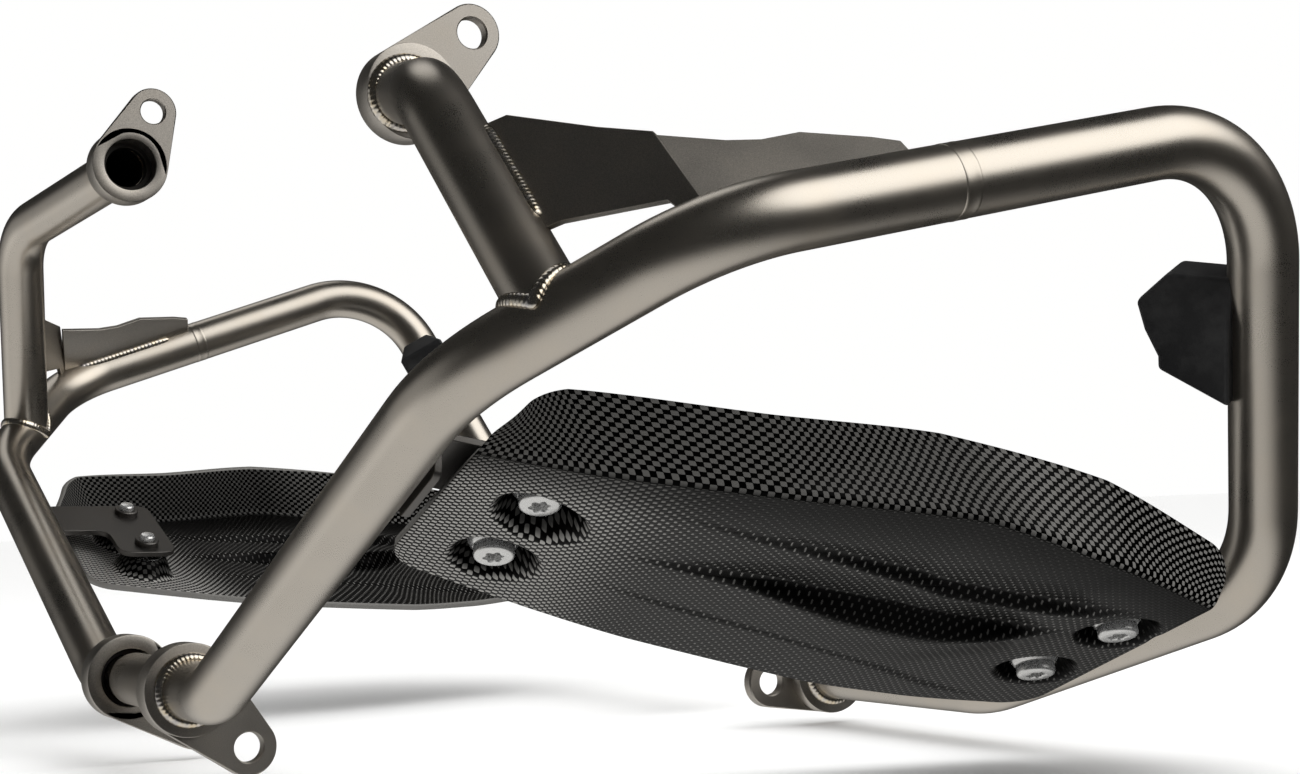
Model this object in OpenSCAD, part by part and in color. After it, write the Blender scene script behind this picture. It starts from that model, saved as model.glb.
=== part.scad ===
// Pair of tubular engine guards for a boxer motorcycle, each with a skid plate.
// X points to the rider's left, Y to the rear and Z up. The origin is the middle of
// the cross sleeve that joins the two halves at the front of the engine.

/* [Tube] */
// Outside diameter of every bent tube
tube_od = 25.4; // [20:0.1:28]
// Wall thickness of every bent tube
tube_wall = 1.8; // [1:0.1:3]
// Leg length of the fillet welds
weld_leg = 2.5; // [1:0.5:3]

/* [Route of the main tube] */
// Where the lateral front stub turns into the down tube
front_turn = [93, 0, 0]; // [-450:1:450]
// Knee between the down tube and the strut section
knee = [324, 11, 112]; // [-450:1:450]
// Shoulder where the tube turns to the rear
shoulder = [396, 71, 154]; // [-450:1:450]
// Upper rear corner
rear_top = [400, 293, 197]; // [-450:1:450]
// Lower rear corner
rear_low = [341, 338, 31]; // [-450:1:450]
// Where the lower tube turns into the lateral rear stub
rear_turn = [184, 323, -15]; // [-450:1:450]
// Centreline radius of the bends, from the front stub to the rear stub
bend_radii = [40, 85, 60, 55, 60, 80]; // [30:1:100]
// Share of the top tube that lies ahead of the butt weld
splice_share = 0.39; // [0.3:0.01:0.6]

/* [Upper struts] */
// Share of the knee to shoulder length at which the left strut leaves the main tube
left_strut_share = 0.41; // [0.33:0.01:0.5]
// Elbow of the left strut
left_strut_elbow = [273, 28, 216]; // [-450:1:450]
// End of the left strut's centreline at its boss
left_strut_end = [148, 69, 243]; // [-450:1:450]
// The same share for the right strut, which serves a cylinder that is set farther forward
right_strut_share = 0.37; // [0.33:0.01:0.5]
// Elbow of the right strut, mirrored to the left
right_strut_elbow = [285, 32, 240]; // [-450:1:450]
// End of the right strut's centreline at its boss, mirrored to the left
right_strut_end = [148, 64, 255]; // [-450:1:450]
// Centreline radius of the struts' elbows
strut_radius = 45; // [30:1:60]

/* [Mounting bosses] */
// Outside diameter of a boss ring
boss_od = 40; // [36:1:44]
// Diameter of the open recess in a boss
recess_d = 27; // [22:1:30]
// Depth of that recess
recess_depth = 9; // [4:1:11]
// Length of a boss
boss_length = 14; // [12:1:20]
// Thickness of a boss tab
tab_thickness = 6; // [3:0.5:8]
// Diameter of the bore from that recess into the tube, at the upper and rear bosses
floor_bore_d = 21; // [13:0.5:21.5]
// Diameter of the bolt holes in the tabs
bolt_hole_d = 13; // [10:0.5:14]
// Outside diameter of a tab round its hole
tab_end_d = 25; // [22:1:30]
// Inner face and axis of the front boss
front_boss_at = [44, 0, 0]; // [-60:1:300]
// Inner face and axis of the left upper boss
left_upper_boss_at = [144, 69, 242]; // [-60:1:300]
// Inner face and axis of the right upper boss, mirrored to the left
right_upper_boss_at = [144, 63, 254]; // [-60:1:300]
// Inner face and axis of the rear boss
rear_boss_at = [44, 323, -15]; // [-60:1:400]
// Offset of the tab hole from the front boss axis, as [rearward, upward]
front_tab = [27, -27]; // [-40:1:40]
// Offset of the tab hole from the left upper boss axis, as [rearward, upward]
left_upper_tab = [30, 28]; // [-40:1:40]
// Offset of the tab hole from the right upper boss axis, as [rearward, upward]
right_upper_tab = [16, 27]; // [-40:1:40]
// Offset of the tab hole from the rear boss axis, as [rearward, upward]
rear_tab = [-31, -3]; // [-40:1:40]

/* [Cross sleeve] */
// Diameter of the sleeve's journals, which sit in the two front bosses
journal_d = 20; // [18:0.5:22]
// Diameter of the sleeve's thick middle
sleeve_d = 24; // [22:0.5:26]
// Diameter of the bore that lightens the sleeve
sleeve_bore_d = 13; // [8:0.5:15]
// Running clearance of the right journal, on the diameter
running_clearance = 0.1; // [0.04:0.02:0.2]
// Angle by which the right half is turned on the sleeve from its mirrored place
right_turn = 7.3; // [-15:0.1:15]

/* [Skid plate] */
// Thickness of the carbon shell
plate_thickness = 3.5; // [2:0.5:5]
// Lower pair of the front bolts and upper pair of them, on the outer face
front_bolts = [[235, 64, 55], [272, 66, 74]]; // [-450:1:450]
// Direction in which the front bolts point
front_bolt_axis = [0.42, -0.22, -0.88]; // [-1:0.01:1]
// Inner and outer rear bolt, on the outer face
rear_bolts = [[273, 280, 0], [320, 283, 16]]; // [-450:1:450]
// Direction in which the rear bolts point
rear_bolt_axis = [0.34, -0.15, -0.93]; // [-1:0.01:1]
// Angle by which the right plate's front end hangs lower, about its rear bolts
right_plate_lean = 3.7; // [0:0.1:6]
// Diameter of the bolts' shanks
bolt_d = 8; // [6:1:10]
// Depth of the dishes that hold the bolt heads
dish_depth = 7; // [4:0.5:9]
// Thickness of the plate brackets
bracket_thickness = 3; // [2:0.5:4]

/* [Bumper] */
// Share of the vertical tube at which the bumper sits
bumper_share = 0.43; // [0.3:0.01:0.6]
// Direction in which the bumper stands off the tube
bumper_direction = [-0.9, -0.4, 0]; // [-1:0.1:1]
// Width of the bumper
bumper_width = 30; // [24:1:36]

/* [Hidden] */
$fn = 64;

titanium = "#8f877b";
weld_colour = "#a79f92";
carbon = "#23231f";
rubber = "#17181a";
steel = "#c4c7ca";

tube_r = tube_od / 2;
bore_r = tube_r - tube_wall;
x_axis = [1, 0, 0];
splice = shoulder + splice_share * (rear_top - shoulder);
left_strut = [knee + left_strut_share * (shoulder - knee), left_strut_elbow, left_strut_end];
right_strut = [knee + right_strut_share * (shoulder - knee), right_strut_elbow, right_strut_end];
front_route = [front_boss_at + boss_length * x_axis, front_turn, knee, shoulder, splice];
rear_route = [splice, rear_top, rear_low, rear_turn, rear_boss_at + boss_length * x_axis];
front_radii = [bend_radii[0], bend_radii[1], bend_radii[2]];
rear_radii = [bend_radii[3], bend_radii[4], bend_radii[5]];

// Levels along a plate bolt's axis, with the plate's outer face at zero
dish_floor = -dish_depth;
bracket_face = dish_floor - plate_thickness + 0.5;
nut_face = bracket_face - bracket_thickness;
nut_height = 3;
bolt_end = 3;
head_seat = -2;
head_height = 4.5;
dish_rim_r = 15;
dish_floor_r = 11;

// Rows of points that shape the skid plate's outer face, each [top edge, fold, lower edge]
plate_rows = [
    [[300, 43, 103], [288, 36, 91], [215, 29, 55]],
    [[314, 58, 110], [325, 65, 81], [207, 90, 33]],
    [[345, 118, 99], [362, 115, 71], [205, 132, 19]],
    [[361, 175, 91], [380, 181, 61], [212, 209, -3]],
    [[369, 240, 73], [376, 242, 42], [222, 250, -11]],
    [[354, 312, 43], [356, 299, 25], [238, 301, -18]]
];

// How far a straight runs into a bend, and how much thinner the bend's wall is there
join_overlap = 0.5;
join_step = 0.02;

function unit(v) = v / norm(v);
function direction(a, b) = unit(b - a);
function turning(a, b, c) = acos(direction(a, b) * direction(b, c));
function setback(a, b, c, r) = r * tan(turning(a, b, c) / 2);

// Moves a child to o with its X and Z axes as close to ex and ez as a square frame allows
module placed(o, ex, ez) {
    z = unit(ez);
    x = unit(ex - (ex * z) * z);
    y = cross(z, x);
    multmatrix([
        [x[0], y[0], z[0], o[0]],
        [x[1], y[1], z[1], o[1]],
        [x[2], y[2], z[2], o[2]],
        [0, 0, 0, 1]
    ]) children();
}

// A vector that is never parallel to v, used to complete a frame
function aside(v) = abs(v[2]) < 0.9 * norm(v) ? [0, 0, 1] : [1, 0, 0];

module rod(a, b, r) {
    placed(a, aside(b - a), b - a) cylinder(r = r, h = norm(b - a));
}

module straight(a, b, outer, inner) {
    placed(a, aside(b - a), b - a)
        if (inner > 0)
            rotate_extrude() translate([inner, 0]) square([outer - inner, norm(b - a)]);
        else
            cylinder(r = outer, h = norm(b - a));
}

module bend(a, b, c, radius, outer, inner) {
    before = direction(a, b);
    after = direction(b, c);
    axis = cross(before, after);
    start = b - setback(a, b, c, radius) * before;
    inward = unit(cross(axis, before));
    placed(start + radius * inward, -inward, axis)
        rotate_extrude(angle = turning(a, b, c))
            translate([radius, 0])
                difference() {
                    circle(r = outer);
                    if (inner > 0) circle(r = inner);
                }
}

// A bent tube along a route, with one bend radius for each inner point. Each straight
// runs a little way into its bends, whose wall is a hair thinner, so that they join cleanly.
module tube(route, radii, outer = tube_r, inner = bore_r) {
    last = len(route) - 1;
    trims = [for (i = [0 : last])
        i == 0 || i == last ? 0
            : setback(route[i - 1], route[i], route[i + 1], radii[i - 1])];
    for (i = [0 : last - 1]) {
        d = direction(route[i], route[i + 1]);
        ahead = i == 0 ? 0 : join_overlap - trims[i];
        behind = i == last - 1 ? 0 : join_overlap - trims[i + 1];
        straight(route[i] - ahead * d, route[i + 1] + behind * d, outer, inner);
    }
    for (i = [1 : last - 1])
        bend(route[i - 1], route[i], route[i + 1], radii[i - 1], outer - join_step,
            inner > 0 ? inner + join_step : 0);
}

// The stretch of main tube that the strut is coped to, with room for the weld's root
module strut_section(root_gap = 0.1) {
    rod(knee, shoulder, tube_r + root_gap);
}

module front_tube() {
    color(titanium) tube(front_route, front_radii);
}

module rear_tube() {
    color(titanium) tube(rear_route, rear_radii);
}

module splice_weld() {
    band = 6;
    height = 0.8;
    d = direction(shoulder, rear_top);
    color(weld_colour) straight(splice - band / 2 * d, splice + band / 2 * d,
        tube_r + height, tube_r);
}

module upper_strut(route, boss_at) {
    color(titanium) difference() {
        tube(route, [strut_radius]);
        strut_section();
        boss_envelope(boss_at);
    }
}

// The space inboard of a boss's outer end, where no tube may enter
module boss_envelope(at) {
    reach = 60;
    translate([at[0] + boss_length - 2 * reach, at[1] - reach, at[2] - reach])
        cube(2 * reach);
}

// Outline of a boss tab, seen along X, from the ring to the tab's round end
module tab_outline(offset_yz) {
    reach = norm(offset_yz);
    root = 0.85 * boss_od / 2;
    tip = 0.97 * tab_end_d / 2;
    rotate(atan2(offset_yz[1], offset_yz[0])) {
        polygon([[0, -root], [reach, -tip], [reach, tip], [0, root]]);
        translate([reach, 0]) circle(d = tab_end_d);
    }
    circle(d = boss_od);
}

// A ring with an open recess toward the engine, a bored floor and a bolted tab
module boss(at, tab, floor_bore_d) {
    color(titanium) placed(at, [0, 1, 0], x_axis)
        difference() {
            union() {
                cylinder(d = boss_od, h = boss_length);
                linear_extrude(tab_thickness) tab_outline(tab);
            }
            translate([0, 0, -1]) cylinder(d = recess_d, h = recess_depth + 1);
            cylinder(d = floor_bore_d, h = boss_length + 1);
            translate([tab[0], tab[1], -1]) cylinder(d = bolt_hole_d, h = tab_thickness + 2);
        }
}

// Fillet round a lateral stub at the outer end of its boss
module stub_weld(at) {
    color(weld_colour) placed(at + boss_length * x_axis, [0, 1, 0], x_axis)
        rotate_extrude()
            polygon([[tube_r, 0], [tube_r + weld_leg, 0], [tube_r, weld_leg]]);
}

// Collar round the slanted strut at the outer end of the upper boss
module slanted_weld(at, route) {
    color(weld_colour) difference() {
        intersection() {
            rod(route[2], route[1], tube_r + weld_leg);
            translate([at[0] + boss_length, at[1] - boss_od, at[2] - boss_od])
                cube([weld_leg, 2 * boss_od, 2 * boss_od]);
        }
        rod(route[2], route[1], tube_r);
    }
}

module boss_welds(upper_boss_at, strut) {
    stub_weld(front_boss_at);
    stub_weld(rear_boss_at);
    slanted_weld(upper_boss_at, strut);
}

// Collar round the foot of the strut, coped to the main tube
module strut_weld(route) {
    base = 6;
    height = tube_r + 4;
    slack = 0.1;
    d = direction(route[0], route[1]);
    color(weld_colour) difference() {
        straight(route[0] + base * d, route[0] + height * d, tube_r + weld_leg, tube_r + slack);
        strut_section();
    }
}

// Web between the strut and the main tube, bent above the shoulder to run on along the top tube
module gusset(strut) {
    thickness = 2.5;
    along_section = direction(knee, shoulder);
    web_face = cross(along_section, direction(strut[0], strut[1]));
    along_top = direction(shoulder, rear_top);
    flap_up = [-0.7, 0, 0.71];
    run = norm(shoulder - strut[0]);
    root_line = tan(90 - turning(knee, shoulder, shoulder + strut[1] - strut[0]));
    color(titanium) difference() {
        union() {
            placed(strut[0], along_section, web_face)
                translate([0, 0, -thickness / 2]) linear_extrude(thickness)
                    polygon([[90 * root_line, 90], [2, 86], [32, 60], [run - 10.6, 45.8],
                        [run - 1.5, 9], [run - 10, 12], [run - 13, 18], [11, 33],
                        [36 * root_line, 36]]);
            placed(shoulder, along_top, cross(along_top, flap_up))
                translate([0, 0, -thickness / 2]) linear_extrude(thickness)
                    polygon([[-0.6, 8], [0.6, 47], [24, 38], [36, 35.5], [51, 36], [74, 27.5],
                        [83, 23], [83, 8]]);
        }
        rod(strut[0], strut[1], tube_r);
        tube(front_route, front_radii, tube_r, 0);
    }
}

// Moves children to the middle of a bolt pair, X along the pair and Z along the bolts
module at_bolts(pair, axis) {
    placed((pair[0] + pair[1]) / 2, pair[1] - pair[0], axis) children();
}

module each_bolt(pair, axis) {
    half = norm(pair[1] - pair[0]) / 2;
    at_bolts(pair, axis) for (side = [-1, 1]) translate([side * half, 0, 0]) children();
}

// Tips the plate, its hardware and its brackets about the rear bolts
module leaned(lean) {
    pivot = (rear_bolts[0] + rear_bolts[1]) / 2;
    translate(pivot) rotate([lean, 0, 0]) translate(-pivot) children();
}

module front_bracket(lean) {
    lip_at = 44;
    lip_depth = 18;
    width = 64;
    neck = 34;
    color(titanium) difference() {
        leaned(lean) at_bolts(front_bolts, front_bolt_axis) {
            translate([-width / 2, -15, nut_face])
                cube([width, 32, bracket_thickness]);
            translate([width / 2 - neck, 10, nut_face])
                cube([neck, lip_at - 10 + bracket_thickness, bracket_thickness]);
            translate([width / 2 - neck, lip_at, nut_face])
                cube([neck, bracket_thickness, lip_depth]);
        }
        leaned(lean) each_bolt(front_bolts, front_bolt_axis)
            translate([0, 0, nut_face - 1]) cylinder(d = bolt_d, h = bracket_thickness + 2);
        tube(front_route, front_radii, tube_r, 0);
    }
}

module rear_bracket(lean) {
    reach = 50;
    width = 76;
    color(titanium) difference() {
        leaned(lean) at_bolts(rear_bolts, rear_bolt_axis)
            translate([-width / 2, -reach, nut_face])
                cube([width, reach + 15, bracket_thickness]);
        leaned(lean) each_bolt(rear_bolts, rear_bolt_axis)
            translate([0, 0, nut_face - 1]) cylinder(d = bolt_d, h = bracket_thickness + 2);
        tube(rear_route, rear_radii, tube_r, 0);
    }
}

// Inner-face partner of an outer point: 0 is the top edge, 1 the fold, 2 the lower edge
function inner_point(p, row) = p + plate_thickness * [[-1, 0, 0], [-0.9, 0, 0.6], [-0.3, 0, 1]][row];

module plate_shell() {
    rows = len(plate_rows);
    outer = [for (r = plate_rows) for (p = r) p];
    inner = [for (r = plate_rows) for (k = [0 : 2]) inner_point(r[k], k)];
    n = len(outer);
    outside = [for (i = [0 : rows - 2]) for (k = [0 : 1]) let (a = 3 * i + k)
        each [[a, a + 4, a + 1], [a, a + 3, a + 4]]];
    inside = [for (f = outside) [f[0] + n, f[2] + n, f[1] + n]];
    rims = [for (i = [0 : rows - 2]) let (a = 3 * i, b = 3 * i + 2)
        each [[a, a + n, a + 3], [a + n, a + n + 3, a + 3],
            [b, b + 3, b + n], [b + n, b + 3, b + n + 3]]];
    ends = [for (k = [0 : 1]) let (a = k, b = n - 3 + k)
        each [[a, a + 1, a + n], [a + 1, a + 1 + n, a + n],
            [b, b + n, b + 1], [b + 1, b + n, b + 1 + n]]];
    polyhedron(points = concat(outer, inner), faces = concat(outside, inside, rims, ends));
}

module dish_walls() {
    translate([0, 0, bracket_face])
        cylinder(r1 = dish_floor_r + 2, r2 = dish_rim_r + 2, h = -bracket_face - 1);
}

module dish_cut() {
    translate([0, 0, dish_floor]) cylinder(r1 = dish_floor_r, r2 = dish_rim_r, h = 12);
    translate([0, 0, bracket_face - 1]) cylinder(d = bolt_d + 1, h = 12);
}

module skid_plate() {
    color(carbon) difference() {
        union() {
            plate_shell();
            each_bolt(front_bolts, front_bolt_axis) dish_walls();
            each_bolt(rear_bolts, rear_bolt_axis) dish_walls();
        }
        each_bolt(front_bolts, front_bolt_axis) dish_cut();
        each_bolt(rear_bolts, rear_bolt_axis) dish_cut();
    }
}

module plate_bolt() {
    head_d = 15.5;
    tail = nut_face - nut_height - bolt_end;
    translate([0, 0, tail]) cylinder(d = bolt_d, h = head_seat - tail);
    difference() {
        translate([0, 0, head_seat]) cylinder(d = head_d, h = head_height);
        translate([0, 0, head_seat + head_height - 3]) cylinder(d = 7.5, h = 4, $fn = 6);
    }
}

module plate_washer() {
    difference() {
        translate([0, 0, dish_floor]) cylinder(d1 = 20, d2 = 16, h = head_seat - dish_floor);
        translate([0, 0, dish_floor - 1]) cylinder(d = bolt_d, h = head_seat - dish_floor + 2);
    }
}

module plate_nut() {
    translate([0, 0, nut_face - nut_height]) difference() {
        cylinder(d = 13, h = nut_height);
        translate([0, 0, -1]) cylinder(d = bolt_d, h = nut_height + 2);
    }
}

module plate_bolts() {
    color(steel) {
        each_bolt(front_bolts, front_bolt_axis) plate_bolt();
        each_bolt(rear_bolts, rear_bolt_axis) plate_bolt();
    }
}

module plate_washers() {
    color(steel) {
        each_bolt(front_bolts, front_bolt_axis) plate_washer();
        each_bolt(rear_bolts, rear_bolt_axis) plate_washer();
    }
}

module plate_nuts() {
    color(steel) {
        each_bolt(front_bolts, front_bolt_axis) plate_nut();
        each_bolt(rear_bolts, rear_bolt_axis) plate_nut();
    }
}

// Moves children to the bumper's place: X away from the tube along the screw, Y up the tube
module at_bumper() {
    up = direction(rear_low, rear_top);
    out = unit(bumper_direction - (bumper_direction * up) * up);
    placed(rear_top + bumper_share * (rear_low - rear_top), out, cross(out, up)) children();
}

bumper_screw_y = 2;
bush_d = 13;
bush_end = 22;
bumper_seat = 31;
bumper_screw_d = 6;

// A round bar along the bumper's screw, between two distances from the tube's axis
module along_screw(d, from, to) {
    translate([from, bumper_screw_y, 0]) rotate([0, 90, 0]) cylinder(d = d, h = to - from);
}

module bumper() {
    recess_d = 15;
    color(rubber) difference() {
        translate([0, 0, -bumper_width / 2]) linear_extrude(bumper_width)
            polygon([[6, 22], [32, 22], [43, 12], [40, 1], [35, -9], [35, -14], [6, -26]]);
        rod([0, -60, 0], [0, 60, 0], tube_r);
        along_screw(bush_d, 0, bush_end);
        along_screw(bumper_screw_d, 0, 50);
        along_screw(recess_d, bumper_seat, 50);
    }
}

// Threaded bush welded to the tube, which the bumper's screw goes into
module bumper_bush() {
    color(titanium) difference() {
        along_screw(bush_d, 6, bush_end);
        rod([0, -60, 0], [0, 60, 0], tube_r);
        along_screw(bumper_screw_d, 0, 50);
    }
}

module bumper_screw() {
    head_height = 4;
    socket_d = 5;
    color(steel) difference() {
        union() {
            along_screw(bumper_screw_d, 15, bumper_seat + 1);
            along_screw(11, bumper_seat, bumper_seat + head_height);
        }
        translate([bumper_seat + head_height - 2, bumper_screw_y, 0]) rotate([0, 90, 0])
            cylinder(d = socket_d, h = 3, $fn = 6);
    }
}

module cross_sleeve() {
    reach = front_boss_at[0] + boss_length;
    seat = front_boss_at[0] + recess_depth;
    color(titanium) placed([-reach, 0, 0], [0, 1, 0], x_axis)
        difference() {
            union() {
                cylinder(d = journal_d, h = 2 * reach);
                translate([0, 0, 22]) cylinder(d = sleeve_d, h = reach + seat - 22);
            }
            translate([0, 0, -1]) cylinder(d = sleeve_bore_d, h = 2 * reach + 2);
        }
}

// Turns the left half's shape into the right half's
module on_right() {
    rotate([right_turn, 0, 0]) mirror([1, 0, 0]) children();
}

front_tube();  // left_front_tube
rear_tube();  // left_rear_tube
splice_weld();  // left_splice_weld
upper_strut(left_strut, left_upper_boss_at);  // left_upper_strut
gusset(left_strut);  // left_gusset
boss(front_boss_at, front_tab, journal_d);  // left_front_boss
boss(left_upper_boss_at, left_upper_tab, floor_bore_d);  // left_upper_boss
boss(rear_boss_at, rear_tab, floor_bore_d);  // left_rear_boss
boss_welds(left_upper_boss_at, left_strut);  // left_boss_welds
strut_weld(left_strut);  // left_strut_weld
front_bracket(0);  // left_front_bracket
rear_bracket(0);  // left_rear_bracket
skid_plate();  // left_skid_plate
plate_bolts();  // left_plate_bolts
plate_washers();  // left_plate_washers
plate_nuts();  // left_plate_nuts
at_bumper() bumper();  // left_bumper
at_bumper() bumper_bush();  // left_bumper_bush
at_bumper() bumper_screw();  // left_bumper_screw
on_right() front_tube();  // right_front_tube
on_right() rear_tube();  // right_rear_tube
on_right() splice_weld();  // right_splice_weld
on_right() upper_strut(right_strut, right_upper_boss_at);  // right_upper_strut
on_right() gusset(right_strut);  // right_gusset
on_right() boss(front_boss_at, front_tab, journal_d + running_clearance);  // right_front_boss
on_right() boss(right_upper_boss_at, right_upper_tab, floor_bore_d);  // right_upper_boss
on_right() boss(rear_boss_at, rear_tab, floor_bore_d);  // right_rear_boss
on_right() boss_welds(right_upper_boss_at, right_strut);  // right_boss_welds
on_right() strut_weld(right_strut);  // right_strut_weld
on_right() front_bracket(right_plate_lean);  // right_front_bracket
on_right() rear_bracket(right_plate_lean);  // right_rear_bracket
on_right() leaned(right_plate_lean) skid_plate();  // right_skid_plate
on_right() leaned(right_plate_lean) plate_bolts();  // right_plate_bolts
on_right() leaned(right_plate_lean) plate_washers();  // right_plate_washers
on_right() leaned(right_plate_lean) plate_nuts();  // right_plate_nuts
on_right() at_bumper() bumper();  // right_bumper
on_right() at_bumper() bumper_bush();  // right_bumper_bush
on_right() at_bumper() bumper_screw();  // right_bumper_screw
cross_sleeve();
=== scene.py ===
"""Looks for the motorcycle engine guard set: bent titanium tubes with welds, bosses, woven
carbon skid plates, their hardware and rubber bumpers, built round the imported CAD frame.

Shapes are written in millimetres for the left half. The right half is the same shape,
mirrored in X and turned on the cross sleeve."""

import math

import bmesh
import bpy
import numpy as np
from mathutils import Matrix, Vector


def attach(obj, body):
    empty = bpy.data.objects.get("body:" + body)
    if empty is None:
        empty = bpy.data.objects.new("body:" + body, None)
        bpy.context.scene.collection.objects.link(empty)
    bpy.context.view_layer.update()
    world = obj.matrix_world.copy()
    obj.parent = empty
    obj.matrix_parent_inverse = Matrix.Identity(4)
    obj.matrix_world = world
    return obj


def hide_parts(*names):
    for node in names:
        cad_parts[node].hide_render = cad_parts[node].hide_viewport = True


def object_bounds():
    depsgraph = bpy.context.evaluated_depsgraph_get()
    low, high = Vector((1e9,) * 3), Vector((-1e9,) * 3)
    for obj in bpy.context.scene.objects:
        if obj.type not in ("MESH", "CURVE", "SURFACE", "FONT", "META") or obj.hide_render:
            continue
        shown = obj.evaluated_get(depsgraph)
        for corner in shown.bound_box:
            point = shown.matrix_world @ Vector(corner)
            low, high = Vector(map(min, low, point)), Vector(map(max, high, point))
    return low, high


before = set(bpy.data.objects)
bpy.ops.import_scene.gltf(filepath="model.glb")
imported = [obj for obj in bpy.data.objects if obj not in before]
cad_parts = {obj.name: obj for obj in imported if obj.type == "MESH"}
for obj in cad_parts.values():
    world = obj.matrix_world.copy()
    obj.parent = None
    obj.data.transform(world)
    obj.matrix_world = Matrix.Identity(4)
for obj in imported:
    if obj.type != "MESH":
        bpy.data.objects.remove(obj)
cad_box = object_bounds()

MM = 0.001
X, Y, Z = np.eye(3)
RIGHT_TURN = math.radians(7.3)
PLACE = {
    "left": Matrix.Identity(4),
    "right": Matrix.Rotation(RIGHT_TURN, 4, "X") @ Matrix.Scale(-1, 4, (1, 0, 0)),
}

# ---------------------------------------------------------------- the part's own sizes
TUBE_R, TUBE_WALL = 12.7, 1.8
FRONT_BOSS = np.array([44.0, 0, 0])
REAR_BOSS = np.array([44.0, 323, -15])
UPPER_BOSS = {"left": np.array([144.0, 69, 242]), "right": np.array([144.0, 63, 254])}
UPPER_TAB = {"left": (30, 28), "right": (16, 27)}
FRONT_TAB = (27, -27)
REAR_TAB = (-31, -3)
BOSS_R, BOSS_LENGTH, RECESS_R, RECESS_DEPTH = 20.0, 14.0, 13.5, 9.0
TAB_THICKNESS, TAB_END_R, HOLE_R, FLOOR_BORE_R = 6.0, 12.5, 6.5, 10.5
FRONT_TURN = np.array([93.0, 0, 0])
KNEE = np.array([324.0, 11, 112])
SHOULDER = np.array([396.0, 71, 154])
REAR_TOP = np.array([400.0, 293, 197])
REAR_LOW = np.array([341.0, 338, 31])
REAR_TURN = np.array([184.0, 323, -15])
SPLICE = SHOULDER + 0.39 * (REAR_TOP - SHOULDER)
STRUT_SHARE = {"left": 0.41, "right": 0.37}
STRUT_ELBOW = {"left": (273, 28, 216), "right": (285, 32, 240)}
STRUT_END = {"left": (148, 69, 243), "right": (148, 64, 255)}
STRUT_RADIUS = 45.0
PLATE_THICKNESS = 3.5
PLATE_ROWS = np.array([
    [[300, 43, 103], [288, 36, 91], [215, 29, 55]],
    [[314, 58, 110], [325, 65, 81], [207, 90, 33]],
    [[345, 118, 99], [362, 115, 71], [205, 132, 19]],
    [[361, 175, 91], [380, 181, 61], [212, 209, -3]],
    [[369, 240, 73], [376, 242, 42], [222, 250, -11]],
    [[354, 312, 43], [356, 299, 25], [238, 301, -18]],
], float)
BOLT_PAIRS = [
    (np.array([235.0, 64, 55]), np.array([272.0, 66, 74]), np.array([0.42, -0.22, -0.88])),
    (np.array([273.0, 280, 0]), np.array([320.0, 283, 16]), np.array([0.34, -0.15, -0.93])),
]
LEAN_PIVOT, PLATE_LEAN = (BOLT_PAIRS[1][0] + BOLT_PAIRS[1][1]) / 2, math.radians(3.7)
LEANED = Matrix.Translation(Vector(LEAN_PIVOT) * MM) @ Matrix.Rotation(PLATE_LEAN, 4, "X") \
    @ Matrix.Translation(-Vector(LEAN_PIVOT) * MM)
PLATE_PLACE = {"left": PLACE["left"], "right": PLACE["right"] @ LEANED}
DISH_FLOOR, DISH_FLOOR_R, DISH_RIM_R = -7.0, 11.5, 18.0
NUT_FACE, NUT_HEIGHT, BOLT_END, HEAD_SEAT = -13.0, 3.0, 3.0, -2.0
BRACKET_THICKNESS = 3.0

# ---------------------------------------------------------------- how the looks are laid on
PAINTED_SHADE_SLOT = 1          # material index of the painted shade inside a bore
BORE_SECTIONS = 4      # sections of a tube's bore that are drawn behind its open end
TOW = 2.0              # width of one carbon tow
MAP_OFFSET = 500       # keeps the weave's map positive, so its parity is even everywhere
TOP_BAND, LOWER_FACE = 34.0, 148.0   # the plate's widths above and below its fold
FLOOR_GAP = 0.001      # metres between the object and the floor


# ---------------------------------------------------------------- small vector helpers
def unit(v):
    v = np.asarray(v, float)
    return v / np.linalg.norm(v)


def axes(ex, ez):
    """A square frame whose Z is along ez and whose X is as near ex as it can be."""
    z = unit(ez)
    x = unit(np.asarray(ex, float) - (np.asarray(ex, float) @ z) * z)
    return x, np.cross(z, x), z


def across(v):
    """Two directions square to v."""
    helper = Z if abs(unit(v)[2]) < 0.9 else X
    x, y, _ = axes(helper, v)
    return x, y


def smooth(x, low, high):
    t = np.clip((np.asarray(x, float) - low) / (high - low), 0, 1)
    return t * t * (3 - 2 * t)


def strut_route(side):
    foot = KNEE + STRUT_SHARE[side] * (SHOULDER - KNEE)
    return [foot, np.array(STRUT_ELBOW[side], float), np.array(STRUT_END[side], float)]


# ---------------------------------------------------------------- mesh building
class Shape:
    """Vertices in millimetres, faces, and the material index of each face."""

    def __init__(self):
        self.verts, self.faces, self.slots = [], [], []

    def add(self, verts, faces, slot=0):
        start = len(self.verts)
        self.verts += [tuple(v) for v in verts]
        self.faces += [tuple(start + i for i in f) for f in faces]
        self.slots += [slot] * len(faces)
        return self

    def rings(self, rings, closed_path=False, caps=True, slot=0):
        """Joins rings of equal length, one after another."""
        count, n = len(rings), len(rings[0])
        verts = [p for r in rings for p in r]
        faces = []
        for i in range(count if closed_path else count - 1):
            a, b = i * n, (i + 1) % count * n
            faces += [(a + j, a + (j + 1) % n, b + (j + 1) % n, b + j) for j in range(n)]
        if caps and not closed_path:
            faces.append(tuple(reversed(range(n))))
            faces.append(tuple(range((count - 1) * n, count * n)))
        return self.add(verts, faces, slot)


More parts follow.
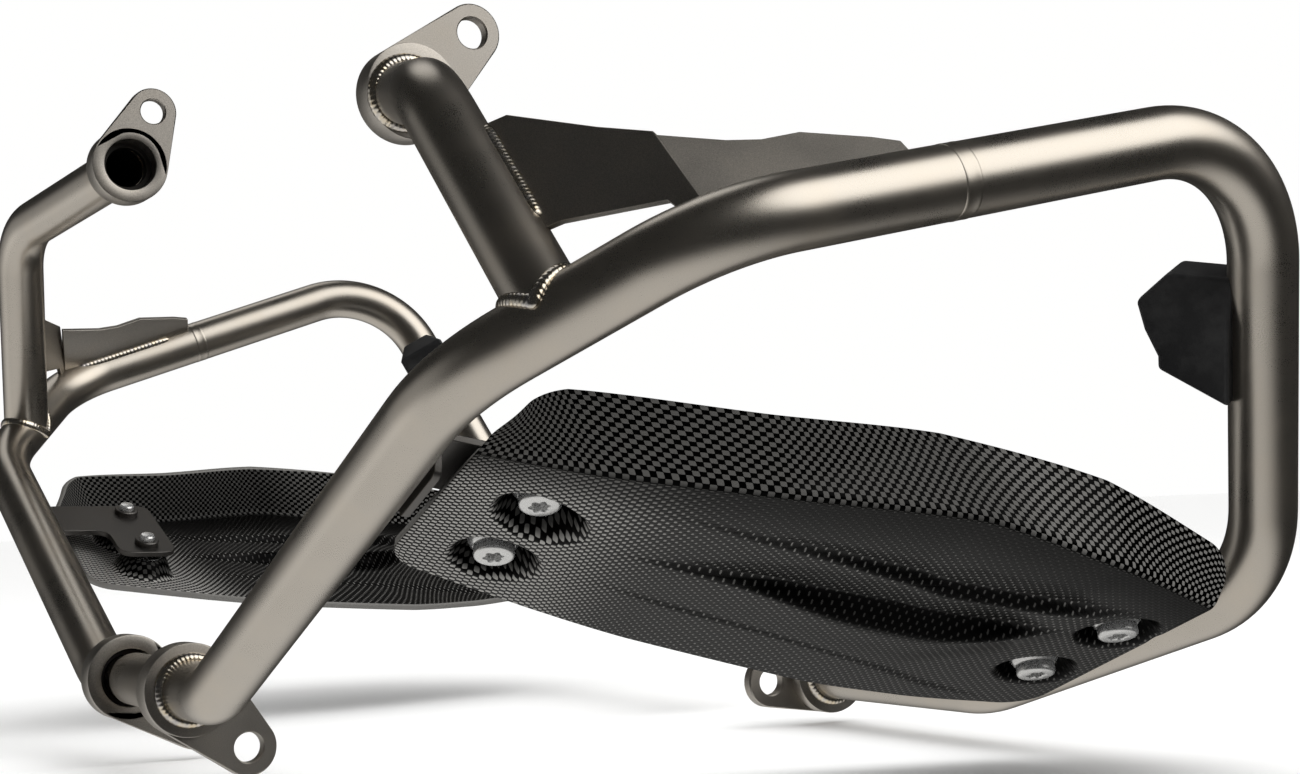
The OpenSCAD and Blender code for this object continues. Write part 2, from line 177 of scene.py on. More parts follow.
def make(side, name, shape, materials, replaces=(), crease=40, bevel=None, place=PLACE):
    """Turns a left-half shape into the piece of one side and hangs it on that side's body."""
    mesh = bpy.data.meshes.new(f"{side}_{name}")
    mesh.from_pydata([Vector(v) * MM for v in shape.verts], [], shape.faces)
    mesh.transform(place[side])
    for m in materials:
        mesh.materials.append(m)
    mesh.polygons.foreach_set("material_index", shape.slots)
    bm = bmesh.new()
    bm.from_mesh(mesh)
    bmesh.ops.recalc_face_normals(bm, faces=bm.faces)
    bm.to_mesh(mesh)
    bm.free()
    obj = bpy.data.objects.new(f"{side}_{name}", mesh)
    bpy.context.scene.collection.objects.link(obj)
    mesh.shade_smooth()
    if bevel:
        rounding = obj.modifiers.new("rounded edges", "BEVEL")
        rounding.width = bevel * MM
        rounding.segments = 3
        rounding.limit_method = "ANGLE"
        rounding.angle_limit = math.radians(30)
        rounding.harden_normals = True
    else:
        mesh.set_sharp_from_angle(angle=math.radians(crease))
    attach(obj, f"{side}_half")
    if replaces:
        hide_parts(*[f"{side}_{r}" for r in replaces])
    return obj


def circle(centre, ex, ey, r, n=64, start=0.0):
    t = start + np.linspace(0, 2 * np.pi, n, endpoint=False)
    return centre + r * (np.outer(np.cos(t), ex) + np.outer(np.sin(t), ey))


def lathe(shape, origin, axis, profile, n=64, slot=0, closed=False):
    """Turns a list of (radius, height) about an axis."""
    ex, ey = across(axis)
    rings = [circle(origin + h * unit(axis), ex, ey, r, n) for r, h in profile]
    return shape.rings(rings, closed_path=closed, caps=not closed, slot=slot)


def filleted(route, radii, step_deg=3.0):
    """Points along a route whose inner corners are rounded."""
    points = [np.asarray(route[0], float)]
    for a, b, c, r in zip(route, route[1:], route[2:], radii):
        before, after = unit(np.subtract(b, a)), unit(np.subtract(c, b))
        turn = math.acos(before @ after)
        inward = unit(after - (after @ before) * before)
        centre = b - before * r * math.tan(turn / 2) + inward * r
        steps = max(2, math.ceil(math.degrees(turn) / step_deg))
        for k in range(steps + 1):
            t = turn * k / steps
            points.append(centre + r * (before * math.sin(t) - inward * math.cos(t)))
    points.append(np.asarray(route[-1], float))
    return points


def tube(shape, points, radius, n=72, open_end=False):
    """A round bar along points, with its section carried along without twist. An open end
    shows the bore behind it, coloured with painted shade."""
    tangents = [unit(q - p) for p, q in zip(points, points[1:])]
    tangents = [tangents[0]] + [unit(a + b) for a, b in zip(tangents, tangents[1:])] + [tangents[-1]]
    ex = across(tangents[0])[0]
    rings = []
    for i, (p, t) in enumerate(zip(points, tangents)):
        ex = unit(ex - (ex @ t) * t)
        rings.append(circle(p, ex, np.cross(t, ex), radius, n))
    if not open_end:
        return shape.rings(rings)
    last = slice(-1, -1 - BORE_SECTIONS, -1)
    rings += [p + (ring - p) * (radius - TUBE_WALL) / radius
              for p, ring in zip(points[last], rings[last])]
    shape.rings(rings)
    outside = len(points) * n
    shape.slots[outside:] = [PAINTED_SHADE_SLOT] * (len(shape.slots) - outside)
    return shape


def bead(shape, path, outward, width, height, pitch=1.9, closed=True, n=12, slot=0):
    """A rippled weld along a dense path. Each ripple rises, then steps down under the next."""
    path, outward = np.asarray(path, float), np.asarray(outward, float)
    count = len(path)
    nxt = np.roll(path, -1, 0) if closed else np.vstack([path[1:], 2 * path[-1] - path[-2]])
    lengths = np.linalg.norm(nxt - path, axis=1)
    total = lengths.sum() if closed else lengths[:-1].sum()
    ripples = max(3, round(total / pitch))
    along = np.concatenate([[0], np.cumsum(lengths)[:-1]]) / total * ripples
    per = 5
    sections = ripples * per + (0 if closed else 1)
    where = np.arange(sections) / per
    if closed:
        path, outward = np.vstack([path, path[:1]]), np.vstack([outward, outward[:1]])
        along = np.append(along, ripples)

    def at(table, w):
        return np.array([np.interp(w, along, table[:, k]) for k in range(3)]).T

    centre, out = at(path, where), at(outward, where)
    ahead = at(path, (where + 0.3) % ripples if closed else np.minimum(where + 0.3, ripples))
    behind = at(path, (where - 0.3) % ripples if closed else np.maximum(where - 0.3, 0))
    rings = []
    for i in range(sections):
        t = unit(ahead[i] - behind[i])
        o = unit(out[i] - (out[i] @ t) * t)
        s = np.cross(t, o)
        wave = where[i] % 1.0
        swell = 0.95 + 0.075 * math.sin(math.pi * min(1, wave * 1.1 + 0.1))
        if not closed:
            swell *= 0.35 + 0.65 * math.sqrt(max(0.0, 1 - (2 * i / (sections - 1) - 1) ** 10))
        a = np.linspace(0, 2 * np.pi, n, endpoint=False)
        lag = 0.55 * pitch * (1 - np.cos(a)[:, None]) / 2
        rings.append(centre[i] + swell * (np.outer(np.cos(a), o) * height
                     + np.outer(np.sin(a), s) * width / 2) - lag * t)
    return shape.rings(rings, closed_path=closed, slot=slot)


def prism(shape, outline, low, high, origin, frame_axes, slot=0):
    """An outline in a frame's XY plane, drawn out along its Z from low to high."""
    ex, ey, ez = frame_axes
    rings = [[origin + x * ex + y * ey + h * ez for x, y in outline] for h in (low, high)]
    return shape.rings(rings, slot=slot)


def rounded(outline, radius, steps=5):
    """The same outline with every corner cut by a small arc."""
    result = []
    n = len(outline)
    for i in range(n):
        a, b, c = (np.array(outline[(i + k) % n], float) for k in (-1, 0, 1))
        r = min(radius, 0.45 * np.linalg.norm(a - b), 0.45 * np.linalg.norm(c - b))
        p, q = b + r * unit(a - b), b + r * unit(c - b)
        for k in range(steps + 1):
            t = k / steps
            result.append((1 - t) ** 2 * p + 2 * t * (1 - t) * b + t * t * q)
    return result


# ---------------------------------------------------------------- materials
class Nodes:
    """Short names for building a material's node tree."""

    def __init__(self, name, colour):
        self.material = bpy.data.materials.new(name)
        self.material.use_nodes = True
        self.material.diffuse_color = (*colour, 1)
        self.tree = self.material.node_tree
        self.shader = self.tree.nodes["Principled BSDF"]
        self.set(**{"Base Color": (*colour, 1)})

    def set(self, **values):
        for name, value in values.items():
            if hasattr(value, "links"):
                self.tree.links.new(value, self.shader.inputs[name])
            else:
                self.shader.inputs[name].default_value = value

    def new(self, kind, **values):
        node = self.tree.nodes.new(kind)
        for name, value in values.items():
            if name in node.inputs:
                if hasattr(value, "links"):
                    self.tree.links.new(value, node.inputs[name])
                else:
                    node.inputs[name].default_value = value
            else:
                setattr(node, name, value)
        return node

    def math(self, operation, *values):
        node = self.tree.nodes.new("ShaderNodeMath")
        node.operation = operation
        for i, value in enumerate(values):
            if hasattr(value, "links"):
                self.tree.links.new(value, node.inputs[i])
            else:
                node.inputs[i].default_value = value
        return node.outputs[0]

    def place(self):
        return self.new("ShaderNodeTexCoord").outputs["Object"]

    def noise(self, scale, detail=2.0, roughness=0.5, vector=None):
        node = self.new("ShaderNodeTexNoise", Scale=scale, Detail=detail, Roughness=roughness,
                        Vector=vector if vector is not None else self.place())
        return node.outputs[0]

    def ramp(self, value, *stops):
        node = self.tree.nodes.new("ShaderNodeValToRGB")
        self.tree.links.new(value, node.inputs[0])
        elements = node.color_ramp.elements
        while len(elements) < len(stops):
            elements.new(0.5)
        for element, (position, colour) in zip(elements, stops):
            element.position = position
            element.color = (*colour, 1) if hasattr(colour, "__len__") else (colour,) * 3 + (1,)
        return node.outputs[0]

    def remap(self, value, low, high, to_low, to_high):
        node = self.new("ShaderNodeMapRange", Value=value)
        for i, v in enumerate((low, high, to_low, to_high)):
            node.inputs[1 + i].default_value = v
        return node.outputs[0]

    def bump(self, height, strength, distance, normal=None):
        node = self.new("ShaderNodeBump", Strength=strength, Distance=distance, Height=height)
        if normal is not None:
            self.tree.links.new(normal, node.inputs["Normal"])
        return node.outputs[0]


def titanium(name, tone, rough, grain, blotch=0.06):
    """Bead-blasted titanium: warm grey, fine grain, faint cloudiness from handling."""
    m = Nodes(name, tone)
    cloud = m.noise(28, 3, 0.6)
    speck = m.noise(2600, 2, 0.6)
    tint = [tuple(c * (1 - blotch) for c in tone), tone,
            tuple(min(1, c * (1 + blotch)) for c in (tone[0] * 1.02, tone[1], tone[2] * 0.97))]
    cloudy = m.ramp(cloud, (0.25, tint[0]), (0.5, tint[1]), (0.78, tint[2]))
    mixed = m.new("ShaderNodeMix", data_type="RGBA", blend_type="MULTIPLY")
    mixed.inputs[0].default_value = grain
    m.tree.links.new(cloudy, mixed.inputs[6])
    m.tree.links.new(m.ramp(speck, (0.3, 0.5), (0.7, 1.25)), mixed.inputs[7])
    m.set(**{"Base Color": mixed.outputs[2], "Metallic": 1.0,
             "Roughness": m.math("ADD", m.remap(cloud, 0.3, 0.7, rough - 0.03, rough + 0.04),
                                 m.remap(speck, 0.3, 0.7, -0.03, 0.03)),
             "Normal": m.bump(speck, 0.22, 0.00012)})
    return m.material


def weld_metal(name):
    """Shiny weld with straw and faint blue heat tints."""
    m = Nodes(name, (0.66, 0.60, 0.50))
    tint = m.noise(240, 2, 0.5)
    m.set(**{"Base Color": m.ramp(tint, (0.3, (0.74, 0.63, 0.46)), (0.5, (0.70, 0.65, 0.57)),
                                  (0.72, (0.52, 0.50, 0.50))),
             "Metallic": 1.0, "Roughness": m.remap(tint, 0.3, 0.7, 0.16, 0.27),
             "Normal": m.bump(m.noise(1500, 2), 0.15, 0.0002)})
    return m.material


def steel(name, tone=(0.72, 0.72, 0.715)):
    """Turned stainless steel with fine scratches."""
    m = Nodes(name, tone)
    fine = m.noise(3000, 2, 0.6)
    m.set(**{"Base Color": m.ramp(fine, (0.3, tuple(c * 0.88 for c in tone)), (0.7, tone)),
             "Metallic": 0.82, "Roughness": m.remap(m.noise(600, 3), 0.3, 0.7, 0.22, 0.3)})
    return m.material


def rubber(name):
    """Matte moulded rubber with a fine eggshell skin and a little dust."""
    m = Nodes(name, (0.012, 0.012, 0.013))
    skin = m.noise(1800, 3, 0.6)
    dust = m.noise(70, 4, 0.7)
    m.set(**{"Base Color": m.ramp(dust, (0.45, (0.0095, 0.0095, 0.0105)), (0.8, (0.024, 0.024, 0.024))),
             "Roughness": m.remap(dust, 0.3, 0.7, 0.42, 0.56),
             "Specular IOR Level": 0.42,
             "Normal": m.bump(skin, 0.2, 0.00015)})
    return m.material


def woven_carbon(name):
    """Plain-weave carbon under a clear coat. The weave follows the mesh's own map, in tows.
    The base colour carries a painted highlight on the tow crowns, and the tone attribute paints
    shade by darkening resin, specular and coat.
    """
    m = Nodes(name, (0.03, 0.03, 0.029))
    split = m.new("ShaderNodeSeparateXYZ", Vector=m.new("ShaderNodeUVMap", uv_map="weave").outputs[0])
    u, v = split.outputs[0], split.outputs[1]
    parity = m.math("MODULO", m.math("ADD", m.math("FLOOR", u), m.math("FLOOR", v)), 2.0)
    fu = m.math("SUBTRACT", m.math("FRACT", u), 0.5)
    fv = m.math("SUBTRACT", m.math("FRACT", v), 0.5)
    along = m.math("ADD", fv, m.math("MULTIPLY", parity, m.math("SUBTRACT", fu, fv)))
    side = m.math("ADD", fu, m.math("MULTIPLY", parity, m.math("SUBTRACT", fv, fu)))
    rise = m.math("POWER", m.math("ABSOLUTE", along), 2.0)
    fall = m.math("POWER", m.math("ABSOLUTE", side), 4.0)
    crown = m.math("SUBTRACT", 1.0, m.math("MULTIPLY", rise, 3.4))
    edge = m.math("SUBTRACT", 1.0, m.math("MULTIPLY", fall, 13.0))
    height = m.math("MULTIPLY", crown, edge)
    fibre = m.noise(5.0, 2, 0.5, m.new(
        "ShaderNodeCombineXYZ", X=m.math("MULTIPLY", side, 26.0), Y=m.math("MULTIPLY", along, 1.5),
        Z=m.math("ADD", m.math("FLOOR", u), m.math("MULTIPLY", m.math("FLOOR", v), 7.0))).outputs[0])
    gain, size, tone = (m.new("ShaderNodeAttribute", attribute_name=f"weave_{kind}").outputs["Fac"]
                        for kind in ("gain", "size", "tone"))
    # Painted highlight on the tow crowns: weave_size sets how much of each crown shows it, the painted
    # highlight attribute how bright it is
    above = m.math("SUBTRACT", height, m.math("SUBTRACT", 1.0, size))
    painted_tow_highlight = m.math("MULTIPLY", m.remap(above, 0.0, 0.16, 0.0, 1.0),
                 m.math("MULTIPLY", parity, m.remap(fibre, 0.3, 0.7, 0.75, 1.15)))
    painted_tow_highlight = m.math("MULTIPLY", painted_tow_highlight, gain)
    # The tone attribute paints shade: it scales the resin colour, specular and coat down
    resin = m.math("MULTIPLY", tone, m.math("ADD", 0.0045, m.math("MULTIPLY", parity, 0.003)))
    bright = m.math("ADD", resin, m.math("MULTIPLY", painted_tow_highlight, 0.34))
    colour = m.new("ShaderNodeCombineColor", Red=bright, Green=m.math("MULTIPLY", bright, 0.975),
                   Blue=m.math("MULTIPLY", bright, 0.925))
    m.set(**{"Base Color": colour.outputs[0], "Roughness": 0.4,
             "Specular IOR Level": m.math("MULTIPLY", tone, 0.08),
             "Coat Weight": m.math("ADD", 0.03, m.math("MULTIPLY", tone, 0.06)),
             "Coat Roughness": 0.06, "Coat IOR": 1.5,
             "Normal": m.bump(height, 0.5, 0.0003)})
    return m.material


def cut_edge(name):
    """The sanded edge of the carbon shell."""
    m = Nodes(name, (0.16, 0.155, 0.145))
    m.set(**{"Roughness": m.remap(m.noise(900, 2), 0.3, 0.7, 0.35, 0.6),
             "Normal": m.bump(m.noise(2200, 2), 0.3, 0.0001)})
    return m.material


TITANIUM = titanium("satin titanium", (0.545, 0.505, 0.45), 0.30, 0.10)
SHEET = titanium("blasted titanium sheet", (0.50, 0.47, 0.43), 0.40, 0.55)
# Near-black titanium that stands for the painted shade deep inside bores and recesses
PAINTED_BORE_SHADE = titanium("unlit bore", (0.045, 0.042, 0.04), 0.6, 0.3)
# Titanium darkened to near black as painted shade for the brackets and nuts behind the plate
PAINTED_SHADE_TITANIUM = titanium("titanium darkened by painted shade", (0.14, 0.134, 0.128), 0.45, 0.3)
WELD = weld_metal("weld bead")
STEEL = steel("turned stainless steel")
RUBBER = rubber("moulded rubber")
CARBON = woven_carbon("woven carbon")
EDGE = cut_edge("carbon cut edge")


# ---------------------------------------------------------------- the tubes and their welds
def main_tubes(side):
    front = filleted([FRONT_BOSS + 12 * X, FRONT_TURN, KNEE, SHOULDER, SPLICE], [40, 85, 60])
    make(side, "front_tube_satin", tube(Shape(), front, TUBE_R), [TITANIUM], ["front_tube"])
    rear = filleted([SPLICE, REAR_TOP, REAR_LOW, REAR_TURN, REAR_BOSS + 12 * X], [55, 60, 80])
    make(side, "rear_tube_satin", tube(Shape(), rear, TUBE_R, open_end=True), [TITANIUM, PAINTED_BORE_SHADE],
         ["rear_tube"])

    foot, elbow, end = strut_route(side)
    lead = foot + 4 * unit(elbow - foot)
    boss = UPPER_BOSS[side]
    to_face = (boss[0] + BOSS_LENGTH - 2 - end[0]) / unit(end - elbow)[0]
    tip = end + to_face * unit(end - elbow)
    strut = filleted([lead, elbow, tip], [STRUT_RADIUS])
    make(side, "strut_satin", tube(Shape(), strut, TUBE_R, open_end=True), [TITANIUM, PAINTED_BORE_SHADE],
         ["upper_strut"])


def splice_band(side):
    d = unit(REAR_TOP - SHOULDER)
    profile = [(TUBE_R - 1, -3.6), (TUBE_R - 0.1, -3.5), (TUBE_R + 0.10, -2.9), (TUBE_R + 0.14, -2.2),
               (TUBE_R + 0.05, -1.6), (TUBE_R + 0.08, 0), (TUBE_R + 0.05, 1.6), (TUBE_R + 0.14, 2.2),
               (TUBE_R + 0.10, 2.9), (TUBE_R - 0.1, 3.5), (TUBE_R - 1, 3.6)]
    shape = lathe(Shape(), SPLICE, d, profile, 96)
    make(side, "splice_band", shape, [TITANIUM], ["splice_weld"], crease=70)


def on_cylinder(base, d, target, n=140):
    """Where a round bar meets a plane X = target: points and their outward directions."""
    ex, ey = across(d)
    t = np.linspace(0, 2 * np.pi, n, endpoint=False)
    out = np.outer(np.cos(t), ex) + np.outer(np.sin(t), ey)
    points = base + TUBE_R * out
    return points + np.outer((target - points[:, 0]) / d[0], d), out


def boss_beads(side):
    shape = Shape()
    for at in (FRONT_BOSS, REAR_BOSS):
        points, out = on_cylinder(at, X, at[0] + BOSS_LENGTH)
        bead(shape, points + 1.2 * out + 0.7 * X, out + 0.8 * X, 5.4, 1.9)
    _, elbow, end = strut_route(side)
    points, out = on_cylinder(end, unit(elbow - end), UPPER_BOSS[side][0] + BOSS_LENGTH)
    bead(shape, points + 1.2 * out + 0.7 * X, out + 0.8 * X, 5.6, 1.9)
    make(side, "boss_beads", shape, [WELD], ["boss_welds"], crease=60)


def strut_foot_bead(side):
    """The saddle curve where the strut runs into the main tube."""
    foot, elbow, _ = strut_route(side)
    d, main = unit(elbow - foot), unit(SHOULDER - KNEE)
    ex, ey = across(d)
    t = np.linspace(0, 2 * np.pi, 180, endpoint=False)
    out = np.outer(np.cos(t), ex) + np.outer(np.sin(t), ey)
    q = TUBE_R * out
    qm, dm = q @ main, d @ main
    a, b, c = 1 - dm * dm, -2 * qm * dm, TUBE_R ** 2 - qm ** 2 - TUBE_R ** 2
    s = (-b + np.sqrt(np.maximum(0, b * b - 4 * a * c))) / (2 * a)
    points = foot + q + np.outer(s, d)
    radial = points - foot - np.outer((points - foot) @ main, main)
    away = np.array([unit(p) for p in radial])
    mean = np.array([unit(o + w) for o, w in zip(out, away)])
    shape = bead(Shape(), points + 0.5 * mean, mean, 5.0, 1.6)
    make(side, "strut_foot_bead", shape, [WELD], ["strut_weld"], crease=60)


def gusset(side):
    thickness = 2.5
    strut = strut_route(side)
    foot, lean = strut[0], unit(strut[1] - strut[0])
    section, top = unit(SHOULDER - KNEE), unit(REAR_TOP - SHOULDER)
    web = axes(section, np.cross(section, lean))
    run = np.linalg.norm(SHOULDER - foot)
    root = math.tan(math.pi / 2 - math.acos(section @ lean))
    outline = [[90 * root, 90], [2, 86], [32, 60], [run - 10.6, 45.8], [run - 1.5, 9],
               [run - 10, 12], [run - 13, 18], [11, 33], [36 * root, 36]]
    shape = prism(Shape(), outline, -thickness / 2, thickness / 2, foot, web)
    flap = axes(top, np.cross(top, (-0.7, 0, 0.71)))
    outline = [[-0.6, 8], [0.6, 47], [24, 38], [36, 35.5], [51, 36], [74, 27.5], [83, 23], [83, 8]]
    prism(shape, outline, -thickness / 2, thickness / 2, SHOULDER, flap)
    make(side, "gusset_sheet", shape, [SHEET], ["gusset"], bevel=0.35)

    beads = Shape()
    reach = np.arange(38, 86, 1.2)
    toward = unit(section - (section @ lean) * lean)
    for face in (-1, 1):
        offset = 2.1 * face * web[2]
        line = foot + np.outer(reach, lean) + math.sqrt(TUBE_R ** 2 - 2.1 ** 2) * toward + offset
        out = np.tile(unit(toward + face * web[2]), (len(line), 1))
        bead(beads, line, out, 5.0, 1.5, closed=False)
        reach_top = np.arange(8, 70, 1.2)
        away, sideways = flap[1], flap[2]
        line = SHOULDER + np.outer(reach_top, top) + math.sqrt(TUBE_R ** 2 - 2.1 ** 2) * away \
            + 2.1 * face * sideways
        out = np.tile(unit(away + face * sideways), (len(line), 1))
        bead(beads, line, out, 4.6, 1.4, pitch=2.4, closed=False)
    make(side, "gusset_beads", beads, [WELD], (), crease=60)


# ---------------------------------------------------------------- bosses and the cross sleeve
def tab_plate(shape, at, tab):
    """The bolted tab, drawn as spokes from its hole out to its edge or into the ring."""
    hole = np.array(tab, float)
    t = np.linspace(0, 2 * np.pi, 360, endpoint=False)
    normals = np.column_stack([np.cos(t), np.sin(t)])
    use_tab = normals @ hole + TAB_END_R > BOSS_R
    hull = np.where(use_tab[:, None], hole + TAB_END_R * normals, BOSS_R * normals)
    edges = np.roll(hull, -1, 0) - hull
    spokes, reach = normals[::3], []
    for d in spokes:
        det = edges[:, 0] * d[1] - edges[:, 1] * d[0]
        det[np.abs(det) < 1e-12] = 1e-12
        rel = hole - hull
        along_edge = (rel[:, 0] * d[1] - rel[:, 1] * d[0]) / det
        distance = (rel[:, 0] * edges[:, 1] - rel[:, 1] * edges[:, 0]) / det
        hit = distance[(along_edge >= -1e-6) & (along_edge <= 1 + 1e-6) & (distance > 0)].min()
        b = hole @ d
        inside = b * b - (hole @ hole - (RECESS_R + 3) ** 2)
        reach.append(min(hit, -b - math.sqrt(inside)) if inside > 0 and b < 0 else hit)
    reach = np.array(reach)
    soft = 0.6
    loops = [(HOLE_R + soft, 0, 0), (None, soft, 0), (None, 0, soft), (None, 0, TAB_THICKNESS - soft),
             (None, soft, TAB_THICKNESS), (HOLE_R + soft, 0, TAB_THICKNESS),
             (HOLE_R, 0, TAB_THICKNESS - soft), (HOLE_R, 0, soft)]
    rings = []
    for r, cut, h in loops:
        p = hole + spokes * (reach - cut if r is None else np.full(len(reach), r))[:, None]
        rings.append([at + h * X + y * Y + z * Z for y, z in p])
    return shape.rings(rings, closed_path=True)


def boss(side, name, at, tab, bore_r):
    e = 0.8
    profile = [(RECESS_R + e, 0), (BOSS_R - e, 0), (BOSS_R - 0.25 * e, 0.25 * e), (BOSS_R, e),
               (BOSS_R, BOSS_LENGTH - e), (BOSS_R - 0.25 * e, BOSS_LENGTH - 0.25 * e),
               (BOSS_R - e, BOSS_LENGTH), (bore_r + 0.4, BOSS_LENGTH), (bore_r, BOSS_LENGTH - 0.4),
               (bore_r, RECESS_DEPTH + 0.4), (bore_r + 0.4, RECESS_DEPTH), (RECESS_R - 0.5, RECESS_DEPTH),
               (RECESS_R, RECESS_DEPTH - 0.5), (RECESS_R, e), (RECESS_R + 0.25 * e, 0.25 * e)]
    around = 96
    shape = lathe(Shape(), at, X, profile, around, closed=True)
    # Steps 7 to 11 of the profile run through the bore and over the recess's floor, which are coloured with
    # painted shade
    shape.slots[7 * around:12 * around] = [PAINTED_SHADE_SLOT] * (5 * around)
    tab_plate(shape, at, tab)
    make(side, f"{name}_blasted", shape, [SHEET, PAINTED_BORE_SHADE], [name], crease=28)


def cross_sleeve():
    reach, thick, thin, bore = 58.0, 12.0, 10.0, 6.5
    profile = [(bore, -reach + 0.5), (bore + 0.5, -reach), (thin - 0.8, -reach), (thin, -reach + 0.8),
               (thin, -36), (thick - 0.8, -36), (thick, -35.2), (thick, 52.2), (thick - 0.8, 53),
               (thin, 53), (thin, reach - 0.8), (thin - 0.8, reach), (bore + 0.5, reach), (bore, reach - 0.5)]
    shape = lathe(Shape(), np.zeros(3), X, profile, 80, closed=True)
    obj = make("left", "cross_sleeve_turned", shape, [TITANIUM], (), crease=28)
    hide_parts("cross_sleeve")


# ---------------------------------------------------------------- skid plate and hardware
def bolt_places():
    """Origin and axis frame of each plate bolt, with the plate's outer face at zero."""
    for first, second, axis in BOLT_PAIRS:
        ex, ey, ez = axes(second - first, axis)
        half = np.linalg.norm(second - first) / 2
        for s in (-1, 1):
            yield (first + second) / 2 + s * half * ex, (ex, ey, ez)


def spline(table, u):
    """Catmull-Rom through a table's rows, at places u from 0 to its last row."""
    table = np.asarray(table, float)
    table = np.concatenate([[2 * table[0] - table[1]], table, [2 * table[-1] - table[-2]]])
    i = np.clip(np.floor(u).astype(int), 0, len(table) - 4)
    t = (u - i).reshape((-1,) + (1,) * (table.ndim - 1))
    p0, p1, p2, p3 = (table[i + k] for k in range(4))
    return 0.5 * (2 * p1 + (p2 - p0) * t + (2 * p0 - 5 * p1 + 4 * p2 - p3) * t ** 2
                  + (3 * p1 - p0 - 3 * p2 + p3) * t ** 3)


def plate_surface(u, v):
    """The plate's outer face without ribs: u along the rows, v 0 top edge, 1 fold, 2 lower edge."""
    straight = np.stack([np.stack([np.interp(u, range(6), PLATE_ROWS[:, j, k]) for k in range(3)], 1)
                         for j in range(3)])
    top, fold, low = 0.55 * np.moveaxis(spline(PLATE_ROWS, u), 1, 0) + 0.45 * straight
    band = np.linalg.norm(fold - top, axis=1)
    face = np.linalg.norm(low - fold, axis=1)
    soft = 3.5
    a, b = np.minimum(0.8, soft / band), soft / face
    flat = np.where((v < 1)[:, None], top + (fold - top) * v[:, None],
                    fold + (low - fold) * (v - 1)[:, None])
    w = np.clip((v - (1 - a)) / (a + b), 0, 1)[:, None]
    start, stop = fold + (top - fold) * a[:, None], fold + (low - fold) * b[:, None]
    curve = (1 - w) ** 2 * start + 2 * w * (1 - w) * fold + w ** 2 * stop
    near = ((v > 1 - a) & (v < 1 + b))[:, None]
    return np.where(near, curve, flat)


def round_corners(u, v):
    """Pulls the four corners of the plate's map in to rounded ones."""
    corners = [(0.0, 0.0, 0.5, 0.6), (0.0, 2.0, 0.2, 0.14), (5.0, 0.0, 0.2, 0.6), (5.0, 2.0, 0.25, 0.12)]
    for cu, cv, du, dv in corners:
        su, sv = (1 if cu > 0 else -1), (1 if cv > 0 else -1)
        a = np.clip((u - (cu - su * du)) * su / du, 0, 1)
        b = np.clip((v - (cv - sv * dv)) * sv / dv, 0, 1)
        u = u + su * du * (a * np.sqrt(1 - b * b / 2) - a)
        v = v + sv * dv * (b * np.sqrt(1 - a * a / 2) - b)
    return u, v


def relief(u, v):
    """Height of the pressed lines on the lower face, and how far each point turns from the light.

    Three steps run back from the front bolts. The face drops a little behind each of them."""
    first = np.interp(u, [1.0, 2.1, 2.75, 3.25, 3.8, 4.3, 5.0],
                      [0.12, 0.25, 0.315, 0.35, 0.31, 0.24, 0.08])
    second = np.interp(u, [1.0, 1.6, 2.2, 2.75, 3.5, 4.15, 5.0],
                       [0.47, 0.475, 0.48, 0.49, 0.47, 0.40, 0.2])
    third = np.interp(u, [0.6, 1.6, 2.6, 3.6, 4.4, 5.0], [0.62, 0.70, 0.76, 0.84, 0.93, 1.0])
    f = np.clip(v - 1, 0, 1)
    height, shade = 0.0, 0.0
    steps = [(first, 0.006 + 0.034 * smooth(u, 2.2, 3.3) * (1 - smooth(u, 3.7, 4.4)),
              2.6 * smooth(u, 1.4, 3.0) * (1 - smooth(u, 4.0, 4.7)), 0.17),
             (second, 0.012 + 0.075 * smooth(u, 2.0, 3.1) * (1 - smooth(u, 3.3, 4.2)),
              4.4 * smooth(u, 1.3, 3.0) * (1 - smooth(u, 3.7, 4.4)), 0.2),
             (third, 0.008, 0.7 * smooth(u, 1.2, 2.2) * (1 - smooth(u, 4.0, 4.8)), 0.12)]
    for line, width, drop, run_out in steps:
        height = height + drop * (0.9 * smooth(f, line - 1.6 * run_out, line)
                                  - 1.9 * smooth(f, line, line + width)
                                  + 1.0 * smooth(f, line + width, line + width + 1.4 * run_out))
        inside = smooth(f, line - 0.004, line + 0.006) \
            * (1 - smooth(f, line + 0.8 * width, line + 1.5 * width))
        shade = shade + np.minimum(1, drop / 3.0) * inside
    return height * smooth(v, 1.0, 1.04), shade * smooth(v, 1.0, 1.04)


def smoothed(height):
    """A grid of heights averaged with its neighbours, twice."""
    for _ in range(2):
        padded = np.pad(height, 1, mode="edge")
        height = (padded[:-2, 1:-1] + padded[2:, 1:-1] + padded[1:-1, :-2] + padded[1:-1, 2:]
                  + 2 * height) / 6
    return height


def press_dishes(p):
    """Presses the bolts' dishes into the points, and says how far into a dish each one is."""
    dished = np.zeros(len(p))
    for origin, (_, _, ez) in bolt_places():
        rel = p - origin
        h = rel @ ez
        r = np.linalg.norm(rel - np.outer(h, ez), axis=1)
        w = 1 - smooth(r, DISH_FLOOR_R - 1.5, DISH_RIM_R)
        near = (r < DISH_RIM_R) & (np.abs(h) < 30)
        w = np.where(near, w, 0)
        dished = np.maximum(dished, np.where(near, 1 - smooth(r, DISH_RIM_R - 3.5, DISH_RIM_R), 0))
        p = p + np.outer(w * (DISH_FLOOR - h), ez)
    return p, dished


